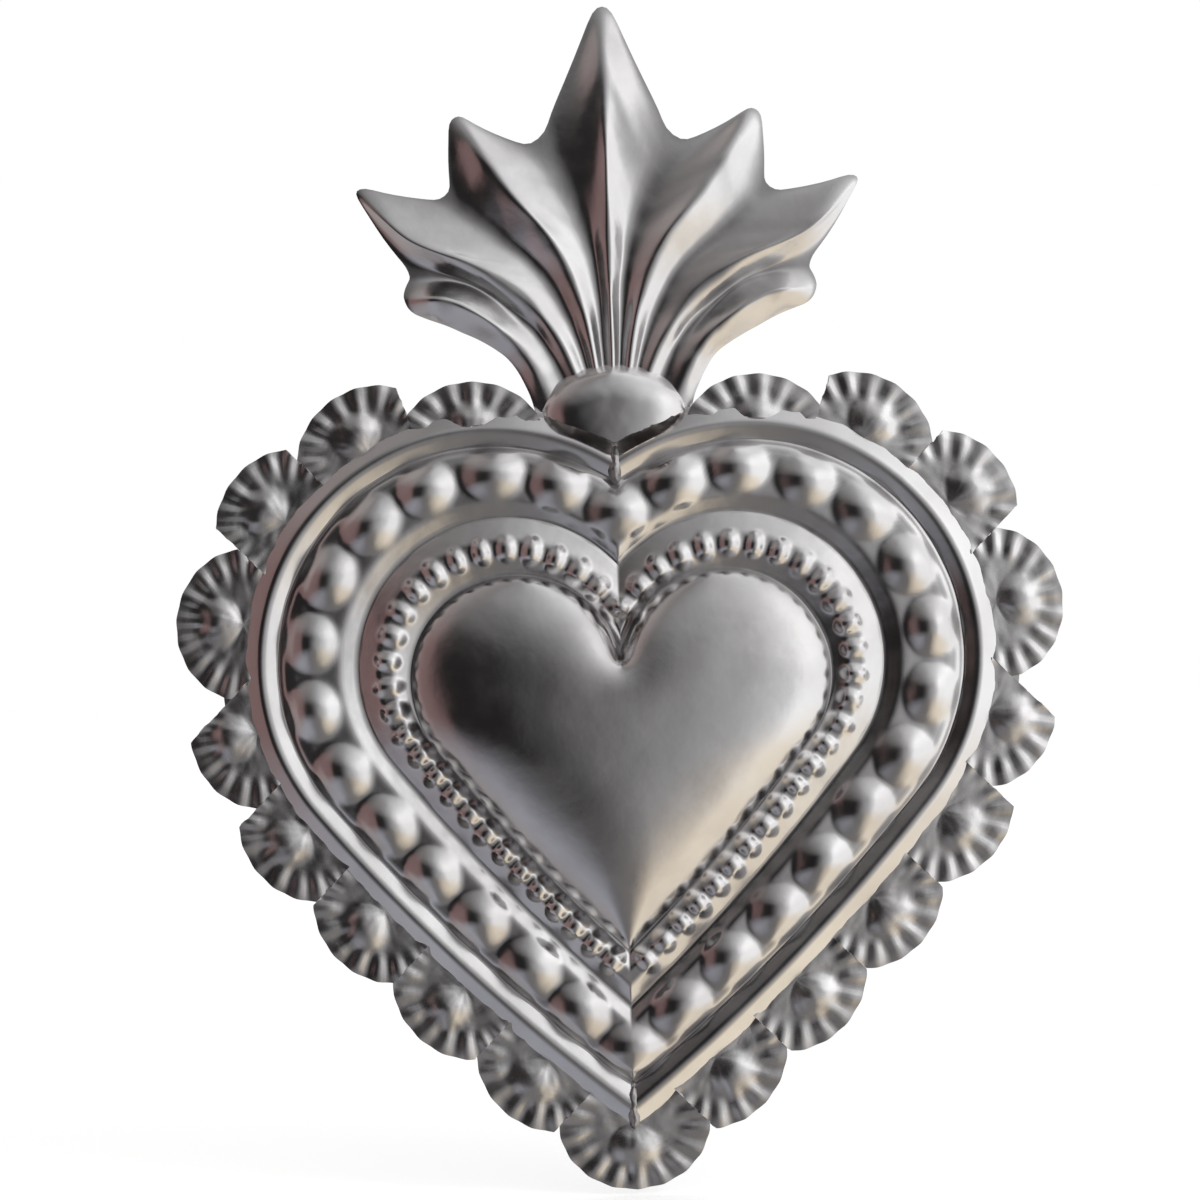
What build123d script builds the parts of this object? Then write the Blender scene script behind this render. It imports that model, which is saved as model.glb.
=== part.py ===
"""Tinplate heart with a flame crown: a pressed and soldered wall ornament with a wire hanging loop.

The front faces -Y and +Z is up. The origin is on the flat back of the heart sheet, on the line
of symmetry, level with the middle of the puffed heart. All sizes are in millimetres.
"""
import os
from math import acos, atan2, cos, degrees, hypot, pi, radians, sin, sqrt

from build123d import *

os.makedirs("parts", exist_ok=True)

# Tinplate and the play left round pieces that sit beside each other
sheet = 0.4
lay_gap = 0.12
mitre_gap = 0.5

# Heart outline along the outer foot of the rim
heart_half_width = 38.3
heart_lobe_top = 35.5
cleft_depth = 3.5
heart_tip = -37.7
side_radius = 198.0
sheet_margin = 0.3
lobe_facets = 15
side_facets = 4

# Rim moulding
rim_width = 3.6
rim_height = 2.0
rim_crest = 0.8

# Channel with its raised track of large beads
channel_side = 8.1
channel_top = 7.2
channel_cleft = 8.3
channel_tip = 8.1
track_gap = 0.35
track_height = 0.6
track_slope_out = 0.5
track_slope_in = 1.6
bead_radius = 2.8
bead_shoulder_radius = 2.2
bead_shoulder_height = 1.3
bead_shoulder_taper = 24
bead_crown_height = 0.8
bead_crown_taper = 52
bead_root = 0.3
bead_hollow_radius = 1.7
bead_hollow_root = 0.25
bead_hollow_taper = 20
beads_per_side = 13
bead_facets = 8
hollow_facets = 6

# Middle heart: a raised band with a row of fine ribs
band_side = 5.3
band_top = 5.8
band_cleft = 10.2
band_tip = 5.4
band_height = 2.0
band_slope_out = 1.7
band_slope_in = 1.5
rib_length = 1.9
rib_width = 1.5
rib_height = 0.6
rib_root = 0.3
rib_crest = 0.8
ribs_per_side = 22

# Puffed heart
puff_height = 5.2
puff_middle = 1.0
puff_wall = 0.6
puff_steps = (1.0, 0.93, 0.77, 0.48)
puff_hollow_steps = (1.0, 0.84)
puff_lobe_facets = 10
puff_side_facets = 3

# Scalloped border
scallop_radius = 6.8
scallop_start = 86.0
scallop_tuck = 3.0
tip_tuck = 0.7
scallops_per_side = 9
scallop_facets = 20
flutes_per_scallop = 8
flute_inner_radius = 3.7
flute_end_gap = 0.15
flute_width = 1.25
flute_height = 0.6
flute_root = 0.1
knob_offset = 2.6
knob_radius = 1.1
knob_height = 0.6
knob_taper = 30
knob_facets = 6

# Flame crown: palm, tab and seven creased leaves
tab_half_width = 6.5
tab_drop = 2.0
neck_half_width = 8.1
neck_rise = 3.2
palm_radius = 9.4
root_lap = 1.0
root_spread = 9.0
crease_start = 0.3
crease_slope = 0.25
leaf_lean = 0.06

# Leaves of the crown: where each root stands round the palm, in degrees, then the leaf's point
# and its two edges, given across from the middle and up from the cleft
top_point = (0.0, 43.4)
top_edge = [(3.4, 20.0), (6.6, 30.0), (4.1, 36.2), (1.3, 42.6)]
upper_root = 75.0
upper_point = (15.0, 33.4)
upper_inner_edge = [(2.4, 20.0), (6.2, 29.8), (9.9, 30.9)]
upper_outer_edge = [(8.8, 16.5), (15.7, 24.6), (16.0, 30.4)]
middle_root = 62.0
middle_point = (25.3, 26.0)
middle_inner_edge = [(7.4, 17.0), (15.3, 25.2), (20.0, 25.3)]
middle_outer_edge = [(12.0, 12.0), (19.7, 17.2), (23.2, 21.6)]
lower_root = 50.0
lower_point = (20.7, 15.4)
lower_inner_edge = [(10.2, 13.6), (16.0, 17.6), (19.8, 17.6)]
lower_outer_edge = [(8.6, 4.6), (11.0, 8.7), (15.2, 11.3), (19.3, 13.3)]

# Round boss over the crown's joint
boss_radius = 7.7
boss_height = 3.2
boss_bands = 2

# Hanger: saddle strap and bent wire loop
wire_radius = 0.6
bar_play = 0.05
loop_back_gap = 0.3
strap_root_gap = 0.75
strap_width = 6.0
strap_side_play = 0.3
strap_foot = 2.2
loop_corner = 1.4
loop_leg = 6.0
wire_end_gap = 0.3
wire_facets = 6

# Solder
fillet_leg = 0.4
crown_fillet_width = 6.0


class Heart:
    """A heart outline: each lobe arc runs on into a long gentle side arc that ends at the tip."""

    def __init__(self, half_width, lobe_top, cleft, tip, side_r=side_radius):
        self.half_width = half_width
        self.lobe_top = lobe_top
        self.cleft = cleft
        self.tip = tip
        self.side_r = side_r
        drop = lobe_top - cleft
        self.lobe_r = half_width + drop - sqrt(2 * half_width * drop)
        self.lobe_x = half_width - self.lobe_r
        self.lobe_z = lobe_top - self.lobe_r
        rise = self.lobe_z - tip
        reach = hypot(self.lobe_x, rise)
        along = (side_r**2 - (side_r - self.lobe_r) ** 2 + reach**2) / (2 * reach)
        across = sqrt(side_r**2 - along**2)
        self.side_x = (along * self.lobe_x - across * rise) / reach
        self.side_z = tip + (along * rise + across * self.lobe_x) / reach
        self.start = atan2(cleft - self.lobe_z, -self.lobe_x) % (2 * pi)
        self.turn = atan2(self.lobe_z - self.side_z, self.lobe_x - self.side_x)
        self.end = atan2(tip - self.side_z, -self.side_x)
        self.lobe_run = self.lobe_r * (self.start - self.turn)
        self.run = self.lobe_run + side_r * (self.turn - self.end)

    def normal(self, run):
        """Angle of the outward normal after a run along the right half, from the cleft."""
        if run <= self.lobe_run:
            return self.start - run / self.lobe_r
        return self.turn - (run - self.lobe_run) / self.side_r

    def point(self, run, out=0.0):
        """Point after a run along the right half, moved outward."""
        angle = self.normal(run)
        if run <= self.lobe_run:
            radius = self.lobe_r + out
            return self.lobe_x + radius * cos(angle), self.lobe_z + radius * sin(angle)
        radius = self.side_r + out
        return self.side_x + radius * cos(angle), self.side_z + radius * sin(angle)

    def inset(self, by):
        """The same heart with its outline moved inward: every arc keeps its centre."""
        lobe_r = self.lobe_r - by
        side_r = self.side_r - by
        return Heart(
            self.half_width - by,
            self.lobe_top - by,
            self.lobe_z + sqrt(lobe_r**2 - self.lobe_x**2),
            self.side_z - sqrt(side_r**2 - self.side_x**2),
            side_r,
        )

    def facets(self, lobe_facets, side_facets):
        """The outline in short straight runs, from the cleft down the right side and up the left."""
        side_run = self.run - self.lobe_run
        runs = [self.lobe_run * k / lobe_facets for k in range(lobe_facets)]
        runs += [self.lobe_run + side_run * k / side_facets for k in range(side_facets + 1)]
        right = [self.point(run) for run in runs]
        return right + [(-x, z) for x, z in right[-2:0:-1]]


def outlined(points, height):
    """A face with straight edges at a height in front of the back."""
    with BuildSketch(Plane.XZ.offset(height)) as face:
        with BuildLine():
            Polyline(*points, close=True)
        make_face()
    return face.sketch


def block(heart, start, end, slope, mode=Mode.ADD):
    """A heart block from one height to another, whose sides lean inward by a slope on the way."""
    face = outlined(heart.facets(lobe_facets, side_facets), start)
    lean = degrees(atan2(slope, abs(end - start)))
    extrude(to_extrude=face, amount=end - start, taper=lean, mode=mode)


def on_front(x, z, angle, height):
    """A plane on the front whose own x points along a direction in the sheet."""
    return Plane(
        origin=(x, -height, z),
        x_dir=(cos(angle), 0, sin(angle)),
        z_dir=(0, -1, 0),
    )


def both_sides(heart, runs, height, out=0.0):
    """Planes at runs along the right half and, mirrored, along the left half."""
    planes = []
    for run in runs:
        x, z = heart.point(run, out)
        angle = heart.normal(run)
        planes.append(on_front(x, z, angle, height))
        planes.append(on_front(-x, z, pi - angle, height))
    return planes


heart_cleft = heart_lobe_top - cleft_depth
rim_line = Heart(heart_half_width, heart_lobe_top, heart_cleft, heart_tip)
rim_inner = rim_line.inset(rim_width)
middle_line = Heart(
    rim_inner.half_width - channel_side,
    rim_inner.lobe_top - channel_top,
    rim_inner.cleft - channel_cleft,
    rim_inner.tip + channel_tip,
)
puff_line = Heart(
    middle_line.half_width - band_side,
    middle_line.lobe_top - band_top,
    middle_line.cleft - band_cleft,
    middle_line.tip + band_tip,
)
bead_line = Heart(
    (rim_inner.half_width + middle_line.half_width) / 2,
    (rim_inner.lobe_top + middle_line.lobe_top) / 2,
    (rim_inner.cleft + middle_line.cleft) / 2,
    (rim_inner.tip + middle_line.tip) / 2,
)

# Places of the scallops, from the one beside the crown round to the tip
border_line = rim_line.inset(-sheet_margin)
first_run = border_line.lobe_r * (border_line.start - radians(scallop_start))
scallop_step = (border_line.run - first_run) / scallops_per_side
outer_runs = [first_run + k * scallop_step for k in range(1, scallops_per_side)]
tucked_planes = both_sides(border_line, [first_run], sheet, -scallop_tuck)
open_planes = [
    *both_sides(border_line, outer_runs, sheet),
    on_front(0, border_line.tip + tip_tuck, -pi / 2, sheet),
]
scallop_planes = tucked_planes + open_planes

# One scallop, with its fan of flutes and its knob
flute_pitch = 360 / scallop_facets
flute_outer_radius = scallop_radius - flute_end_gap
with BuildPart() as scallop:
    with BuildSketch(Plane.XY.offset(-sheet)):
        RegularPolygon(scallop_radius, scallop_facets, rotation=flute_pitch / 2)
    extrude(amount=sheet)

with BuildPart() as flute:
    with BuildSketch(Plane.YZ.offset(flute_outer_radius)) as flute_end:
        with BuildLine():
            Polyline(
                (-flute_width / 2, -flute_root),
                (flute_width / 2, -flute_root),
                (0, flute_height),
                close=True,
            )
        make_face()
    loft(sections=[flute_end.sketch, Vertex(flute_inner_radius, 0, -flute_root)])

with BuildPart() as fan:
    for k in range(flutes_per_scallop):
        turn = (k - (flutes_per_scallop - 1) / 2) * flute_pitch
        with Locations(Rotation(0, 0, turn)):
            add(flute.part)

with BuildPart() as knob:
    with BuildSketch(Plane.XY.offset(-flute_root)):
        with Locations((knob_offset, 0)):
            RegularPolygon(knob_radius, knob_facets)
    extrude(amount=knob_height + flute_root, taper=knob_taper)

# One large bead and the punch mark behind it
with BuildPart() as bead:
    with BuildSketch(Plane.XY.offset(-bead_root)):
        RegularPolygon(bead_radius, bead_facets)
    extrude(amount=bead_root)
    with BuildSketch(Plane.XY):
        RegularPolygon(bead_radius, bead_facets)
    extrude(amount=bead_shoulder_height, taper=bead_shoulder_taper)
    with BuildSketch(Plane.XY.offset(bead_shoulder_height)):
        RegularPolygon(bead_shoulder_radius, bead_facets)
    extrude(amount=bead_crown_height, taper=bead_crown_taper)
bead_height = bead_shoulder_height + bead_crown_height

with BuildPart() as bead_hollow:
    with BuildSketch(Plane.XY):
        RegularPolygon(bead_hollow_radius, hollow_facets)
    extrude(amount=bead_height + bead_hollow_root - sheet, taper=bead_hollow_taper)


def bead_places(height):
    """Planes for the bead at the cleft, the one at the tip and those down both sides."""
    step = bead_line.run / (beads_per_side + 1)
    runs = [step * (k + 1) for k in range(beads_per_side)]
    return [
        on_front(0, bead_line.cleft, pi / 2, height),
        on_front(0, bead_line.tip, -pi / 2, height),
        *both_sides(bead_line, runs, height),
    ]


# Heart sheet: scalloped border, raised bead track and flat middle
track_outer = rim_inner.inset(track_gap)
track_edge = middle_line.inset(-lay_gap - track_slope_in)
track_top = track_height + sheet
with BuildPart() as heart_sheet:
    with BuildSketch(Plane.XZ):
        add(outlined(border_line.facets(lobe_facets, side_facets), 0))
    extrude(amount=sheet)
    with Locations(*scallop_planes):
        add(scallop.part)
    with Locations(*scallop_planes):
        add(fan.part)
    with Locations(*open_planes):
        add(knob.part)
    block(track_outer, sheet, track_top, track_slope_out)
    block(track_outer.inset(sheet), 0, track_height, track_slope_out, Mode.SUBTRACT)
    block(track_edge.inset(-sheet), track_height, 0, track_slope_in)
    block(track_edge, track_top, sheet, track_slope_in, Mode.SUBTRACT)
    with Locations(*bead_places(track_top)):
        add(bead.part)
    with Locations(*bead_places(track_height - bead_hollow_root)):
        add(bead_hollow.part, mode=Mode.SUBTRACT)
heart_sheet.part.label = "heart_sheet"
export_step(heart_sheet.part, "parts/heart_sheet.step")


# Rim mouldings: hollow ridges of folded sheet, mitred where they meet
rim_slope = (rim_width - rim_crest) / 2
rim_top = sheet + rim_height
with BuildPart() as rim_ridge:
    block(rim_line, sheet, rim_top, rim_slope)
    block(rim_inner.inset(-rim_slope), rim_top, sheet, rim_slope, Mode.SUBTRACT)

with BuildPart() as rim_hollow:
    block(rim_line.inset(sheet), sheet, rim_height, rim_slope)
    block(rim_inner.inset(-sheet - rim_slope), rim_height, sheet, rim_slope, Mode.SUBTRACT)

with BuildPart() as rim_right:
    add(rim_ridge.part)
    add(rim_hollow.part, mode=Mode.SUBTRACT)
    split(bisect_by=Plane.YZ.offset(mitre_gap / 2), keep=Keep.TOP)
rim_right.part.label = "rim_right"
export_step(rim_right.part, "parts/rim_right.step")

with BuildPart() as rim_left:
    mirror(rim_right.part, about=Plane.YZ)
rim_left.part.label = "rim_left"
export_step(rim_left.part, "parts/rim_left.step")


def fill_mitre(end):
    """Solder that fills the gap between the two mouldings at the cleft or at the tip."""
    add(rim_ridge.part)
    split(bisect_by=Plane.YZ.offset(mitre_gap / 2), keep=Keep.BOTTOM)
    split(bisect_by=Plane.YZ.offset(-mitre_gap / 2), keep=Keep.TOP)
    split(bisect_by=Plane.XY, keep=end)


with BuildPart() as rim_solder_cleft:
    fill_mitre(Keep.TOP)
rim_solder_cleft.part.label = "rim_solder_cleft"
export_step(rim_solder_cleft.part, "parts/rim_solder_cleft.step")

with BuildPart() as rim_solder_tip:
    fill_mitre(Keep.BOTTOM)
rim_solder_tip.part.label = "rim_solder_tip"
export_step(rim_solder_tip.part, "parts/rim_solder_tip.step")

# One fine rib, lying across the band
with BuildPart() as rib:
    with BuildSketch(Plane.YZ.offset(-rib_length / 2)):
        with BuildLine():
            Polyline(
                (-rib_width / 2, -rib_root),
                (rib_width / 2, -rib_root),
                (rib_crest / 2, rib_height),
                (-rib_crest / 2, rib_height),
                close=True,
            )
        make_face()
    extrude(amount=rib_length)

# Middle heart: raised band round a flat seat, with a row of fine ribs on the band
seat_height = 2 * sheet
band_top_height = sheet + band_height
band_outer = middle_line.inset(band_slope_out)
band_inner = puff_line.inset(-lay_gap - band_slope_in)
rib_line = Heart(
    (band_outer.half_width + band_inner.half_width) / 2,
    (band_outer.lobe_top + band_inner.lobe_top) / 2,
    (band_outer.cleft + band_inner.cleft) / 2,
    (band_outer.tip + band_inner.tip) / 2,
)
rib_step = rib_line.run / (ribs_per_side + 1)
rib_runs = [rib_step * (k + 0.5) for k in range(ribs_per_side)]
with BuildPart() as middle_heart:
    block(middle_line, sheet, band_top_height, band_slope_out)
    block(middle_line.inset(sheet), sheet, band_height, band_slope_out, Mode.SUBTRACT)
    block(band_inner.inset(-sheet), band_height, sheet, band_slope_in)
    block(band_inner, band_top_height, seat_height, band_slope_in, Mode.SUBTRACT)
    with Locations(*both_sides(rib_line, rib_runs, band_top_height)):
        add(rib.part)
middle_heart.part.label = "middle_heart"
export_step(middle_heart.part, "parts/middle_heart.step")


def puff(share, wall):
    """A section of the puffed heart, shrunk about its middle: steep at the edge and flatter on top."""
    scale = share * (1 - wall / puff_line.half_width)
    outline = puff_line.facets(puff_lobe_facets, puff_side_facets)
    points = [(x * scale, puff_middle + (z - puff_middle) * scale) for x, z in outline]
    rise = (puff_height - wall) * sqrt(1 - share**3)
    return outlined(points, seat_height + rise)


# Puffed heart: a hollow pressing that sits on the seat
with BuildPart() as puffed_heart:
    loft(sections=[puff(share, 0) for share in puff_steps], ruled=True)
    loft(
        sections=[puff(share, puff_wall) for share in puff_hollow_steps],
        ruled=True,
        mode=Mode.SUBTRACT,
    )
puffed_heart.part.label = "puffed_heart"
export_step(puffed_heart.part, "parts/puffed_heart.step")

def palm_spot(angle):
    """A spot near the palm's edge, across from the middle and up from the cleft."""
    radius = palm_radius - root_lap
    return radius * cos(radians(angle)), radius * sin(radians(angle))


def fold(root_angle, point, edge, side):
    """One flat side of a leaf, from the crease back to the edge; side 1 is right of the crease."""
    root = palm_spot(root_angle)
    corner = palm_spot(root_angle - side * root_spread)
    along = Vector(point[0] - root[0], 0, point[1] - root[1]).normalized()
    across = Vector(along.Z, 0, -along.X) * side
    crease = along - Vector(0, leaf_lean, 0)
    normal = crease.cross(across + Vector(0, crease_slope, 0))
    place = Plane(
        origin=(root[0], -crease_start, heart_cleft + root[1]),
        x_dir=crease,
        z_dir=normal,
    )
    corners = []
    for x, rise in [root, corner, *edge, point]:
        back = -normal.dot(Vector(x - root[0], 0, rise - root[1])) / normal.Y
        spot = place.to_local_coords(Vector(x, back - crease_start, heart_cleft + rise))
        corners.append((spot.X, spot.Y))
    with BuildSketch(place) as face:
        with BuildLine():
            Polyline(*corners, close=True)
        make_face()
    extrude(to_extrude=face.sketch, amount=side * sheet)


tab_end = heart_cleft - tab_drop
neck_level = heart_cleft + neck_rise
with BuildPart() as flame_crown:
    with BuildSketch(Plane.XZ):
        with Locations((0, heart_cleft)):
            Circle(palm_radius)
        with BuildLine():
            Polyline(
                (-palm_radius, heart_cleft - palm_radius),
                (palm_radius, heart_cleft - palm_radius),
                (palm_radius, neck_level),
                (-palm_radius, neck_level),
                close=True,
            )
        make_face(mode=Mode.SUBTRACT)
        with BuildLine():
            Polyline(
                (-tab_half_width, tab_end),
                (tab_half_width, tab_end),
                (neck_half_width, neck_level),
                (-neck_half_width, neck_level),
                close=True,
            )
        make_face()
    extrude(amount=-sheet)
    fold(90, top_point, top_edge, 1)
    fold(upper_root, upper_point, upper_inner_edge, -1)
    fold(upper_root, upper_point, upper_outer_edge, 1)
    fold(middle_root, middle_point, middle_inner_edge, -1)
    fold(middle_root, middle_point, middle_outer_edge, 1)
    fold(lower_root, lower_point, lower_inner_edge, -1)
    fold(lower_root, lower_point, lower_outer_edge, 1)
    mirror(about=Plane.YZ)
flame_crown.part.label = "flame_crown"
export_step(flame_crown.part, "parts/flame_crown.step")

# Round boss over the crown's joint, cut to sit in the cleft
boss_sphere = (boss_radius**2 + boss_height**2) / (2 * boss_height)


def boss_profile(thin):
    """Half the section of the boss, or of its hollow when thinned."""
    radius = boss_sphere - thin
    back = boss_sphere - boss_height
    spread = acos(back / radius)
    arc = [spread * k / boss_bands for k in range(boss_bands + 1)]
    points = [(radius * sin(a), back - radius * cos(a)) for a in arc]
    with BuildSketch(Plane.XY.offset(heart_cleft)) as profile:
        with BuildLine():
            Polyline(*points, (0, 0), close=True)
        make_face()
    return profile.sketch


boss_axis = Axis((0, 0, heart_cleft), (0, -1, 0))
with BuildPart() as crown_boss:
    revolve(profiles=boss_profile(0), axis=boss_axis)
    revolve(profiles=boss_profile(sheet), axis=boss_axis, mode=Mode.SUBTRACT)
    with BuildSketch(Plane.XZ):
        add(outlined(border_line.inset(-lay_gap).facets(lobe_facets, side_facets), 0))
        with Locations([(p.origin.X, p.origin.Z) for p in tucked_planes]):
            Circle(scallop_radius + lay_gap)
    extrude(amount=boss_height, mode=Mode.SUBTRACT)
crown_boss.part.label = "crown_boss"
export_step(crown_boss.part, "parts/crown_boss.step")

# Hanger strap: a strip bent over the loop's bar, both feet flat on the crown's back
bar_y = sheet + loop_back_gap + wire_radius
hump_in = wire_radius + bar_play
hump_out = hump_in + sheet
foot_end = hump_out + strap_foot
root_rise = palm_radius - root_lap
bar_z = heart_cleft + root_rise - strap_root_gap - fillet_leg - foot_end
bar_drop = bar_y - sheet
with BuildPart() as hanger_strap:
    with BuildSketch(Plane.YZ.offset(-strap_width / 2)):
        with Locations((sheet, bar_z)):
            Rectangle(sheet, 2 * foot_end, align=(Align.MIN, Align.CENTER))
            Rectangle(bar_drop, 2 * hump_out, align=(Align.MIN, Align.CENTER))
        with Locations((bar_y, bar_z)):
            Circle(hump_out)
            Circle(hump_in, mode=Mode.SUBTRACT)
        with Locations((bar_y, bar_z)):
            Rectangle(
                bar_y,
                2 * hump_in,
                align=(Align.MAX, Align.CENTER),
                mode=Mode.SUBTRACT,
            )
        with Locations((sheet, bar_z)):
            Rectangle(
                hump_out,
                2 * hump_out,
                align=(Align.MAX, Align.CENTER),
                mode=Mode.SUBTRACT,
            )
    extrude(amount=strap_width)
hanger_strap.part.label = "hanger_strap"
export_step(hanger_strap.part, "parts/hanger_strap.step")

# Hanging loop: bent wire whose ends meet inside the strap
bar_half = strap_width / 2 + strap_side_play
leg_x = bar_half + loop_corner
leg_top = bar_z - loop_corner
leg_end = leg_top - loop_leg
with BuildPart() as hanging_loop:
    with BuildLine(Plane.XZ.offset(-bar_y)) as wire_path:
        Line((wire_end_gap / 2, bar_z), (bar_half, bar_z))
        JernArc((bar_half, bar_z), (1, 0), loop_corner, -90)
        Line((leg_x, leg_top), (leg_x, leg_end))
        JernArc((leg_x, leg_end), (0, -1), leg_x, -180)
        Line((-leg_x, leg_end), (-leg_x, leg_top))
        JernArc((-leg_x, leg_top), (0, 1), loop_corner, -90)
        Line((-bar_half, bar_z), (-wire_end_gap / 2, bar_z))
    wire_end = Plane(origin=(wire_end_gap / 2, bar_y, bar_z), z_dir=(1, 0, 0))
    with BuildSketch(wire_end):
        RegularPolygon(wire_radius, wire_facets)
    sweep(path=wire_path.line)
hanging_loop.part.label = "hanging_loop"
export_step(hanging_loop.part, "parts/hanging_loop.step")


def fillet_bead(width, face_y, edge_z, leg_z):
    """A run of solder in the corner between a face and the edge of the piece on it."""
    with BuildSketch(Plane.YZ.offset(-width / 2)) as section:
        with BuildLine():
            Polyline(
                (face_y, edge_z),
                (face_y + sheet, edge_z),
                (face_y, edge_z + leg_z),
                close=True,
            )
        make_face()
    extrude(to_extrude=section.sketch, amount=width)


with BuildPart() as crown_solder:
    fillet_bead(crown_fillet_width, 0, tab_end, -fillet_leg)
crown_solder.part.label = "crown_solder"
export_step(crown_solder.part, "parts/crown_solder.step")

with BuildPart() as strap_solder_upper:
    fillet_bead(strap_width, sheet, bar_z + foot_end, fillet_leg)
strap_solder_upper.part.label = "strap_solder_upper"
export_step(strap_solder_upper.part, "parts/strap_solder_upper.step")

with BuildPart() as strap_solder_lower:
    fillet_bead(strap_width, sheet, bar_z - foot_end, -fillet_leg)
strap_solder_lower.part.label = "strap_solder_lower"
export_step(strap_solder_lower.part, "parts/strap_solder_lower.step")
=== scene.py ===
import random
from contextlib import contextmanager
from math import atan2, copysign, cos, floor, hypot, pi, radians, sin, sqrt

import bpy
from mathutils import Matrix, Vector


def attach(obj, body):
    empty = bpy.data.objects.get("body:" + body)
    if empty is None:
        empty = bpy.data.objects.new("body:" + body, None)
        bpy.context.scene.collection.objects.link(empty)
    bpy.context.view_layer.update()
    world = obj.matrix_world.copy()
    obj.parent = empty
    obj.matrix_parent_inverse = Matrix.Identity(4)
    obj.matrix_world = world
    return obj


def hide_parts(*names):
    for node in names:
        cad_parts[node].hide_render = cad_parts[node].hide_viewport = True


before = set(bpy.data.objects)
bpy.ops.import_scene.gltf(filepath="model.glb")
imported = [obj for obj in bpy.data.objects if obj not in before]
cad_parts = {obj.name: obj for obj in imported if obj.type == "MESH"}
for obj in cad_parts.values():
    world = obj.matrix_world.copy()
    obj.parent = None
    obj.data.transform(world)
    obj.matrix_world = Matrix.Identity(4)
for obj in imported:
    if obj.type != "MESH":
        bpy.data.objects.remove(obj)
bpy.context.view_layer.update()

MM = 0.001
chance = random.Random(11)

# Sizes of the piece are in millimetres, and MM turns them into metres.
# Tinplate and the steps of the heart outlines
sheet = 0.4
side_radius = 198.0
lobe_steps = 150
side_steps = 160
rings_across = 30

# Rim moulding
rim_width = 3.6
rim_sheet = 0.35
rim_seat = 0.05
rim_overrun = 4.0
rim_points = 32
rim_turns = 90
mitre_gap = 0.5

# Beads and gadroons; a spread is the least and the most that the hand work makes of a size
beads_per_side = 13
bead_along = 3.6
bead_across = 3.05
bead_height = 1.4
bead_spread = (0.94, 1.04)
bead_height_spread = (0.92, 1.05)
bead_stray = 0.15
cleft_bead_rise = 0.3
tip_bead_rise = 0.6
gadroons_per_side = 28
gadroon_along = 1.15
gadroon_across = 1.65
gadroon_height = 0.7
gadroon_spread = (0.9, 1.1)
gadroon_height_spread = (0.85, 1.15)
punch_reach = 4.0
punch_roundness = 1.6

# Scallops
scallops_per_side = 9
scallop_radius = 6.8
scallop_stretch = 1.13
scallop_lift = 0.1
scallop_sheet = 0.36
scallop_turn = 5
scallop_under = 1.7
tip_under = 5.0
scallop_start = 86.0
scallop_tucks = (4.0, 1.3, 0.3, 0.1, 0.7, 0.5, 0.5, 0.5, 0.5)
tip_tuck = 1.2
flutes_round = 18
steps_per_flute = 6
flute_start = 3.8
flute_full = 5.2
flute_fade_start = 6.0
flute_fade = 0.25
flute_height = 0.38
flute_edge = 0.005
knob_out = 2.6
knob_radius = 2.5
knob_height = 0.85
knob_roundness = 1.5

# Solder runs on the rim's mitres
solder_back = 0.3

# Puffed heart on its seat
seat_height = 0.8
puff_height = 5.1
puff_middle = 1.0
puff_fullness = 2.7
puff_edge = 0.68
puff_easing = 75
puff_easing_power = 0.8

# Boss over the crown's joint
boss_half_width = 7.4
boss_middle = 35.1
boss_up = 4.8
boss_down = 6.4
boss_height = 2.9
boss_back = 0.1
boss_fullness = 2.6
boss_edge = 0.7
boss_cleft = 31.9
boss_cleft_slope = 0.42

# Hanger
wire_radius = 0.6
wire_end_gap = 0.3
bar_y = 1.3
bar_z = 36.0
bar_half = 3.3
loop_corner = 1.4
loop_leg = 6.0


class Heart:
    """A heart outline: each lobe arc runs on into a long gentle side arc that ends at the tip."""

    def __init__(self, half_width, lobe_top, cleft, tip):
        self.half_width = half_width
        self.lobe_top = lobe_top
        self.cleft = cleft
        self.tip = tip
        drop = lobe_top - cleft
        self.lobe_r = half_width + drop - sqrt(2 * half_width * drop)
        self.lobe_x = half_width - self.lobe_r
        self.lobe_z = lobe_top - self.lobe_r
        rise = self.lobe_z - tip
        reach = hypot(self.lobe_x, rise)
        along = (side_radius**2 - (side_radius - self.lobe_r) ** 2 + reach**2) / (2 * reach)
        across = sqrt(side_radius**2 - along**2)
        self.side_x = (along * self.lobe_x - across * rise) / reach
        self.side_z = tip + (along * rise + across * self.lobe_x) / reach
        self.start = atan2(cleft - self.lobe_z, -self.lobe_x) % (2 * pi)
        self.turn = atan2(self.lobe_z - self.side_z, self.lobe_x - self.side_x)
        self.end = atan2(tip - self.side_z, -self.side_x)
        self.lobe_run = self.lobe_r * (self.start - self.turn)
        self.run = self.lobe_run + side_radius * (self.turn - self.end)

    def normal(self, run):
        if run <= self.lobe_run:
            return self.start - run / self.lobe_r
        return self.turn - (run - self.lobe_run) / side_radius

    def point(self, run):
        angle = self.normal(run)
        if run <= self.lobe_run:
            return self.lobe_x + self.lobe_r * cos(angle), self.lobe_z + self.lobe_r * sin(angle)
        return self.side_x + side_radius * cos(angle), self.side_z + side_radius * sin(angle)

    def outline(self):
        """Points round the heart, from the cleft down the right side and up the left."""
        side_run = self.run - self.lobe_run
        runs = [self.lobe_run * k / lobe_steps for k in range(lobe_steps)]
        runs += [self.lobe_run + side_run * k / side_steps for k in range(side_steps + 1)]
        right = [self.point(run) for run in runs]
        return right + [(-x, z) for x, z in right[-2:0:-1]]


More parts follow.
